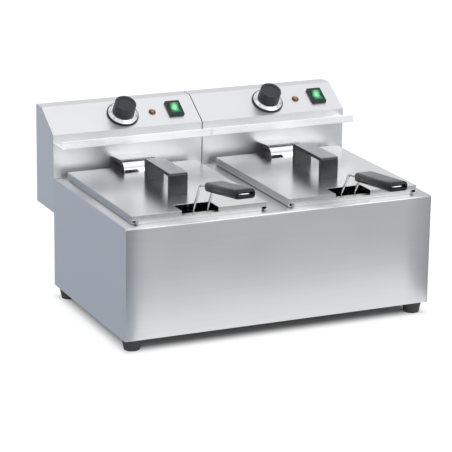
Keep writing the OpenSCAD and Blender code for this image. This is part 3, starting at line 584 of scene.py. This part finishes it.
def woven_basket(side):
    low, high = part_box(f"{side}_basket_mesh")
    middle, inset = (low + high) / 2, WIRE + WEAVE + SPARE
    half_x, half_y = (high.x - low.x) / 2 - inset, (high.y - low.y) / 2 - inset
    around = 2 * (half_x + half_y) * 2 - (8 - 2 * math.pi) * CORNER
    posts = outline_points(half_x, half_y, CORNER, 2 * round(around / PITCH / 2))
    floor_z, rings = low.z + inset, round((high.z - low.z) / PITCH)
    rise = (high.z - WIRE - floor_z) / rings
    base = Vector((middle.x, middle.y, floor_z))
    parts = []
    for j in range(1, rings + 1):
        parts.append(tube([base + p + n * step(i, j) + Vector((0, 0, j * rise))
                           for i, (p, n) in enumerate(posts)], WIRE, 6, closed=True))
    for i, (p, n) in enumerate(posts):
        parts.append(tube([base + p + n * -step(i, j) + Vector((0, 0, j * rise))
                           for j in range(rings + 1)], WIRE, 6))
    for axis, half, other in ((0, half_x, half_y), (1, half_y, half_x)):
        wires, crossings = 2 * round(half / PITCH), 2 * round(other / PITCH)
        for i in range(1, wires):
            at = -half + 2 * half * i / wires
            over = max(0.0, abs(at) - (half - CORNER))
            reach = other - CORNER + math.sqrt(CORNER ** 2 - over ** 2)
            line = [-reach] + [y for y in (-other + 2 * other * j / crossings
                                           for j in range(1, crossings)) if abs(y) < reach - 0.001]
            line.append(reach)
            path = []
            for y in line:
                j = round((y + other) / (2 * other) * crossings)
                lift = step(i, j) * (1 if axis else -1)
                path.append(base + Vector((y, at, lift) if axis else (at, y, lift)))
            parts.append(tube(path, WIRE, 6))
    mesh = make_piece(f"{side}_woven_basket", *join_parts(parts), "chrome_wire", f"{side}_basket")
    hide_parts(f"{side}_basket_mesh")
    print(side, "basket:", len(posts), "uprights,", rings, "rings,", len(mesh.data.polygons),
          "faces")


for side in SIDES:
    woven_basket(side)

# %% [markdown]
# ## Basket frame
# A thick wire runs round the rim, and two hooks at the rear let the basket drain on its rail. Two
# runners under the mesh keep it off the element.
#
# The rim and the hooks' places come from the CAD boxes. A box can't tell where the runners lie
# within the frame, so we find them from the frame's lowest points.

# %% Frame wires
THICK_WIRE, HOOK_WIRE, RUNNER = 0.0020, 0.0017, 0.0025  # radii
HOOK_SPREAD, HOOK_DROP, HOOK_BEND = 0.060, 0.0155, 0.005  # from the middle, down, and its bend
RUNNER_GAP, RUNNER_SPARE = 0.024, 0.0006  # from a basket's side to a runner's end, and a bit more

def frame_wires(side):
    mesh_low, mesh_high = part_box(f"{side}_basket_mesh")
    low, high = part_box(f"{side}_basket_frame")
    middle = (mesh_low + mesh_high) / 2
    ring_z = high.z - THICK_WIRE
    ring = [Vector((x, y, ring_z)) for x, y in
            ((mesh_low.x, mesh_low.y), (mesh_high.x, mesh_low.y),
             (mesh_high.x, mesh_high.y), (mesh_low.x, mesh_high.y))]
    parts = [tube(rounded_path(ring, CORNER, closed=True, steps=12), THICK_WIRE, 14, closed=True)]
    hook_y = high.y - HOOK_WIRE
    for x in (middle.x - HOOK_SPREAD, middle.x + HOOK_SPREAD):
        path = [Vector((x, mesh_high.y, ring_z)), Vector((x, hook_y, ring_z)),
                Vector((x, hook_y, ring_z - HOOK_DROP))]
        parts.append(tube(rounded_path(path, HOOK_BEND), HOOK_WIRE, 12))
    runner_z = low.z + RUNNER
    coords = [v.co for v in nodes[f"{side}_basket_frame"].data.vertices if v.co.z < low.z + 0.001]
    split_y = (min(c.y for c in coords) + max(c.y for c in coords)) / 2
    for rows in ([c.y for c in coords if c.y < split_y], [c.y for c in coords if c.y >= split_y]):
        y = (min(rows) + max(rows)) / 2
        x0, x1 = mesh_low.x + RUNNER_GAP, mesh_high.x - RUNNER_GAP
        ends = [Vector((x0 + RUNNER_SPARE, y, runner_z)), Vector((x1 - RUNNER_SPARE, y, runner_z))]
        parts.append(tube(ends, RUNNER, 14))
    made = make_piece(f"{side}_basket_wires", *join_parts(parts), "chrome_wire", f"{side}_basket")
    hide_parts(f"{side}_basket_frame")
    print(side, "frame: rim at", round(ring_z, 4), "runners at", round(runner_z, 4))


print("frame wires ready, bent from", THICK_WIRE * 2000, "mm wire")

# %% [markdown]
# ## Handle wires
# The handle is one closed loop of the same thick wire: up the basket's front, forward over the
# lid's notch, and out through the grip. On the real piece it is bent cold, so every corner is an
# arc. The grip's own direction says where the wire goes, so it's measured from the CAD grip.

# %% Handle wires
HANDLE_HALF, KNEE_BEND = 0.0125, 0.009
KNEE_UP = 0.003  # the first bend lies this far above the tank's rim
GRIP_L, LEAN = 0.118, 0.02695  # a grip's length and how far the handle leans forward below it


def grip_axis(side):
    """The grip's middle and the direction from its front end to its rear end."""
    coords = np.array([v.co for v in nodes[f"{side}_basket_grip"].data.vertices])
    low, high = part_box(f"{side}_basket_grip")
    spread = np.linalg.svd(coords - coords.mean(0), full_matrices=False)[2][0]
    direction = Vector(spread) * (1 if spread[1] > 0 else -1)
    direction.x = 0
    return (low + high) / 2, direction.normalized()


def handle_wire(side):
    low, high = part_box(f"{side}_basket_handle")
    middle, axis = grip_axis(side)
    x = (low.x + high.x) / 2
    leg_y = high.y - THICK_WIRE
    knee_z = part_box(f"{side}_tank")[1].z + KNEE_UP
    front = middle - axis * (GRIP_L / 2 - 2 * THICK_WIRE)
    bend_y = leg_y - LEAN
    bend = middle + axis * ((bend_y - middle.y) / axis.y)
    flat = [(low.z + THICK_WIRE, leg_y), (knee_z, leg_y), (bend.z, bend.y), (front.z, front.y)]
    right_leg = [Vector((x + HANDLE_HALF, y, z)) for z, y in flat]
    left_leg = [Vector((x - HANDLE_HALF, y, z)) for z, y in reversed(flat)]
    path = rounded_path(right_leg + left_leg, KNEE_BEND, closed=True, steps=9)
    made = make_piece(f"{side}_handle_wire", *tube(path, THICK_WIRE, 14, closed=True),
                      "chrome_wire", f"{side}_basket")
    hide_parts(f"{side}_basket_handle")
    print(side, "handle leans from", [round(c, 4) for c in (leg_y, knee_z)], "to",
          [round(c, 4) for c in bend])


for side in SIDES:
    frame_wires(side)
    handle_wire(side)

# %% [markdown]
# ## Grips
# A grip is a flat oval bar moulded round the wire. Its ends are rounded over, its front end has a
# shallow stadium-shaped recess where the wire's loop shows, and a fine parting line runs round it
# near the front, where the end cap was pressed on.
#
# We loft it from closed outlines with the same number of points: each outline is a rounded
# rectangle, and the list of outlines walks over the outside, round the end and into the recess.

# %% Grips
GRIP_W, GRIP_T, GRIP_R = 0.0345, 0.015, 0.0052
SLOT_W, SLOT_T = 0.0292, 0.0042
END_CAP_L, RECESS_DEEP = 0.026, 0.02


def rounded_loop(width, height, radius, along, per_corner=9):
    radius = min(radius, width / 2 - 1e-5, height / 2 - 1e-5)
    points = []
    for k, (sx, sy) in enumerate(((1, 1), (-1, 1), (-1, -1), (1, -1))):
        for i in range(per_corner):
            angle = math.pi / 2 * (k + i / (per_corner - 1))
            points.append(Vector((sx * (width / 2 - radius) + radius * math.cos(angle),
                                  sy * (height / 2 - radius) + radius * math.sin(angle), along)))
    return points


def loft(loops):
    size = len(loops[0])
    verts = [p for loop in loops for p in loop]
    faces = []
    for j in range(len(loops) - 1):
        for k in range(size):
            faces.append((j * size + k, j * size + (k + 1) % size, (j + 1) * size + (k + 1) % size,
                          (j + 1) * size + k))
    return verts, faces


def grip_loops():
    """Outlines from the slot's rear mouth, over the outside, to the slot's front mouth and back."""
    loops = [rounded_loop(SLOT_W, SLOT_T, 0.002, 0.0)]
    for over, inset in ((0.0, 0.0024), (0.0006, 0.0009), (0.0022, 0.0)):
        loops.append(rounded_loop(GRIP_W - 2 * inset, GRIP_T - 2 * inset, GRIP_R, over))
    seam = GRIP_L - END_CAP_L
    for over, inset in ((seam - 0.0004, 0.0), (seam - 0.0001, 0.00045), (seam + 0.0001, 0.00045),
                        (seam + 0.0004, 0.0), (GRIP_L - 0.0026, 0.0), (GRIP_L - 0.0016, 0.0004),
                        (GRIP_L - 0.0006, 0.0013), (GRIP_L, 0.0027)):
        loops.append(rounded_loop(GRIP_W - 2 * inset, GRIP_T - 2 * inset, GRIP_R, over))
    for deep, grow in ((0.0, 0.0030), (0.0005, 0.0024), (0.0019, 0.0024), (0.0020, 0.0)):
        loops.append(rounded_loop(SLOT_W + grow * 0.4, SLOT_T + grow, 0.0033, GRIP_L - deep))
    loops.append(rounded_loop(SLOT_W, SLOT_T, 0.002, GRIP_L - RECESS_DEEP))
    return loops


for side in SIDES:
    middle, axis = grip_axis(side)
    rear = middle + axis * GRIP_L / 2
    across = Vector((1, 0, 0))
    turn = Matrix((across, (-axis).cross(across), -axis)).transposed().to_4x4()
    verts, faces = loft(grip_loops())
    grip = make_piece(f"{side}_grip", [Matrix.Translation(rear) @ turn @ v for v in verts], faces,
                      "handle_plastic", f"{side}_basket")
    grip.data.materials[0] = finish["grip_plastic"]
    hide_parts(f"{side}_basket_grip")
    print(side, "grip slopes", round(math.degrees(math.atan2(axis.z, axis.y)), 2), "degrees")

# %% [markdown]
# ## Marks on the dials
# The silver dial carries printed temperatures and ticks that turn with the knob. They are thin
# shapes that stand a tenth of a millimetre proud of the cone, so they stay crisp from any angle.
# Plain figures are enough here: fifty to one hundred and ninety degrees.

# %% Places on the dial's cone
finish["dial_ink"] = moulded("dial_ink", (0.05, 0.055, 0.07), 0.5, 900.0, 0.05)
CONE_LOW, CONE_HIGH = (0.0260, 0.0037), (0.0210, 0.0077)  # radius and height of the cone's edges
PROUD = 0.0001


def on_cone(angle, up):
    """A point and the directions round, up and out of the cone at that angle."""
    radius = CONE_LOW[0] + (CONE_HIGH[0] - CONE_LOW[0]) * up
    height = CONE_LOW[1] + (CONE_HIGH[1] - CONE_LOW[1]) * up
    outward = Vector((math.cos(angle), math.sin(angle), 0))
    slope = (outward * (CONE_HIGH[0] - CONE_LOW[0]) + Vector((0, 0, CONE_HIGH[1] - CONE_LOW[1])))
    slope.normalize()
    sideways = Vector((-outward.y, outward.x, 0))
    normal = slope.cross(sideways * -1).normalized()
    return outward * radius + Vector((0, 0, height)), sideways, slope, normal


def on_dial(flat_points, angle, up):
    """Lays flat points on the cone, a little proud of it."""
    place, sideways, slope, normal = on_cone(angle, up)
    return [place + sideways * x + slope * y + normal * PROUD for x, y in flat_points]


def figure_mesh(text, size):
    curve = bpy.data.curves.new("figure", "FONT")
    curve.body, curve.size, curve.align_x, curve.align_y = text, size, "CENTER", "CENTER"
    curve.resolution_u = 2
    holder = bpy.data.objects.new("figure", curve)
    scene.collection.objects.link(holder)
    bpy.context.view_layer.update()
    mesh = bpy.data.meshes.new_from_object(holder)
    verts, faces = [v.co.copy() for v in mesh.vertices], [tuple(p.vertices) for p in mesh.polygons]
    bpy.data.objects.remove(holder)
    bpy.data.meshes.remove(mesh)
    bpy.data.curves.remove(curve)
    return verts, faces


print("ink and cone ready")

# %% [markdown]
# ### Ticks and figures
# The scale starts 140 degrees to one side of the dial's lowest point and has a tick every ten
# degrees of turn. Each tick is five degrees of heat, and every fourth one is longer and numbered.

# %% Dial marks
TICKS, TICK_TURN, FIRST_TICK = 29, 10, -90 - 140  # their count, spacing and start in degrees
COOLEST, TICK_HEAT, FIGURE_EVERY, FIGURE_SIZE = 50, 5, 4, 0.0036
FIGURES_UP, TICKS_UP = 0.42, 0.88  # how far up the cone they sit
SHORT_TICK, LONG_TICK = (0.00022, 0.0006), (0.0003, 0.0007)  # half a tick's width and height


def dial_marks():
    parts = []
    for k in range(TICKS):
        angle = math.radians(FIRST_TICK + TICK_TURN * k)
        numbered = k % FIGURE_EVERY == 0
        if numbered:
            verts, faces = figure_mesh(str(COOLEST + TICK_HEAT * k), FIGURE_SIZE)
            parts.append((on_dial([(v.x, v.y) for v in verts], angle, FIGURES_UP), faces))
        w, h = LONG_TICK if numbered else SHORT_TICK
        corners = ((-w, -h), (w, -h), (w, h), (-w, h))
        parts.append((on_dial(corners, angle, TICKS_UP), [(0, 1, 2, 3)]))
    return join_parts(parts)


mark_verts, mark_faces = dial_marks()
for side in SIDES:
    joint = next(j for j in frame["joints"] if j["name"] == f"{side}_knob_turn")
    outward = -Vector(joint["axis"]).normalized()
    right = Vector((1, 0, 0))
    panel = Matrix.Translation(Vector(joint["pos_m"])) @ Matrix(
        (right, outward.cross(right), outward)).transposed().to_4x4()
    make_piece(f"{side}_dial_marks", [panel @ v for v in mark_verts], mark_faces, "dial_ink",
               f"{side}_knob")
print("dial marks:", len(mark_faces), "faces")

# %% [markdown]
# ## Studio
# The floor is a plain white sheet that runs far behind the fryer. A studio lights such a sheet
# until it has no shade left, except right under the object.
#
# Bare light would need many lamps for that. We let the floor glow instead, and let its glow fade
# close to the base plate, which paints the fryer's dark contact shadow.

# %% Floor
GLOW, FADE_IN, FADE_OUT = 0.72, -0.030, 0.010  # its strength, and where it fades about the base


def stage_plane(name, centre, size_x, size_y, rotation=(0, 0, 0)):
    mesh = bpy.data.meshes.new(name)
    x, y = size_x / 2, size_y / 2
    mesh.from_pydata([(-x, -y, 0), (x, -y, 0), (x, y, 0), (-x, y, 0)], [], [(0, 1, 2, 3)])
    plane = bpy.data.objects.new(name, mesh)
    plane.location, plane.rotation_euler = centre, rotation
    scene.collection.objects.link(plane)
    return plane


floor = stage_plane("floor", (0, 4.0, 0), 30, 30)
floor_finish, floor_tree, floor_shader = new_finish("white_floor", (0.40, 0.40, 0.403), 0.0, 0.9)
floor_shader.inputs["Specular IOR Level"].default_value = 0.0
floor_shader.inputs["Emission Color"].default_value = (1, 1, 1, 1)
base_low, base_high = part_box("base_plate")
position = add(floor_tree, "NewGeometry").outputs["Position"]
spot = add(floor_tree, "SeparateXYZ", {0: position}).outputs
away = [math_node(floor_tree, "SUBTRACT", math_node(floor_tree, "ABSOLUTE", math_node(
    floor_tree, "SUBTRACT", spot[axis], (low + high) / 2)), (high - low) / 2)
    for axis, low, high in ((0, base_low.x, base_high.x), (1, base_low.y, base_high.y))]
# the fade under the base plate is a painted contact shadow
glow = add(floor_tree, "MapRange", {"Value": math_node(floor_tree, "MAXIMUM", *away),
                                    "From Min": FADE_IN, "From Max": FADE_OUT, "To Max": GLOW},
           interpolation_type="SMOOTHSTEP")
floor_tree.links.new(glow.outputs["Result"], floor_shader.inputs["Emission Strength"])
floor.data.materials.append(floor_finish)
print("floor glows", GLOW, "and fades within", [FADE_IN, FADE_OUT], "m of the base plate's edge")

# %% [markdown]
# ### Light
# Most of the light comes from a pale dome all round. One big soft box overhead adds the faint
# shadow under the front.

# %% Dome and soft box
world = bpy.data.worlds.new("pale_dome")
scene.world = world
world.use_nodes = True
world.node_tree.nodes["Background"].inputs["Color"].default_value = (0.975, 0.985, 1.0, 1)
world.node_tree.nodes["Background"].inputs["Strength"].default_value = 0.90

light = bpy.data.lights.new("overhead_box", "AREA")
light.shape, light.size, light.size_y, light.energy = "RECTANGLE", 3.2, 2.6, 10
soft_box = bpy.data.objects.new("overhead_box", light)
soft_box.location = (0.1, -0.1, 2.3)
soft_box.rotation_euler = (-soft_box.location).to_track_quat("-Z", "Y").to_euler()
scene.collection.objects.link(soft_box)
print("dome and soft box of", light.energy, "W")

# %% [markdown]
# ### Boards for the steel
# Steel shows its surroundings more than itself. In a studio, dark and grey boards stand outside
# the picture to give bright metal its shape.
#
# Ours lie on the floor and stand beside and behind the camera's view. They are seen only in
# reflections, so they throw no light on anything that isn't glossy.

# %% Reflection boards
LEVEL, UPRIGHT = (0, 0, 0), (math.radians(90), 0, math.radians(24.5))
COOL, PALE = (0.80, 0.88, 1.0), (0.92, 0.95, 1.0)


def board(name, centre, size_x, size_y, rotation, color, strength):
    """A glossy-only board: seen in metal, casting no light or shadow of its own."""
    plane = stage_plane(name, centre, size_x, size_y, rotation)
    material = bpy.data.materials.new(name)
    material.use_nodes = True
    tree = material.node_tree
    tree.nodes.clear()
    glow = add(tree, "Emission", {"Color": (*color, 1), "Strength": strength})
    tree.links.new(glow.outputs[0], add(tree, "OutputMaterial").inputs["Surface"])
    plane.data.materials.append(material)
    plane.visible_camera = plane.visible_diffuse = plane.visible_shadow = False
    plane.visible_transmission = plane.visible_volume_scatter = False


board("front_floor_board", (1.2, -2.40, 0.003), 6.0, 4.1, LEVEL, PALE, 0.42)
board("left_fold_board", (-1.0, -0.95, 0.006), 1.3, 1.3, LEVEL, (0.88, 0.93, 1.0), 0.12)
board("right_fold_board", (1.45, 0.45, 0.006), 2.2, 1.7, LEVEL, (0.95, 0.97, 1.0), 0.42)
board("left_rear_floor_board", (-2.22, 1.6, 0.004), 3.9, 4.6, LEVEL, COOL, 0.56)
board("left_rear_board", (-2.0, 2.3, 0.9), 4.0, 1.8, UPRIGHT, COOL, 0.58)
board("right_front_board", (1.9, -3.6, 1.9), 4.5, 2.8, UPRIGHT, (1.0, 1.0, 1.0), 2.3)
scene.view_settings.view_transform = "Standard"
print("studio ready")
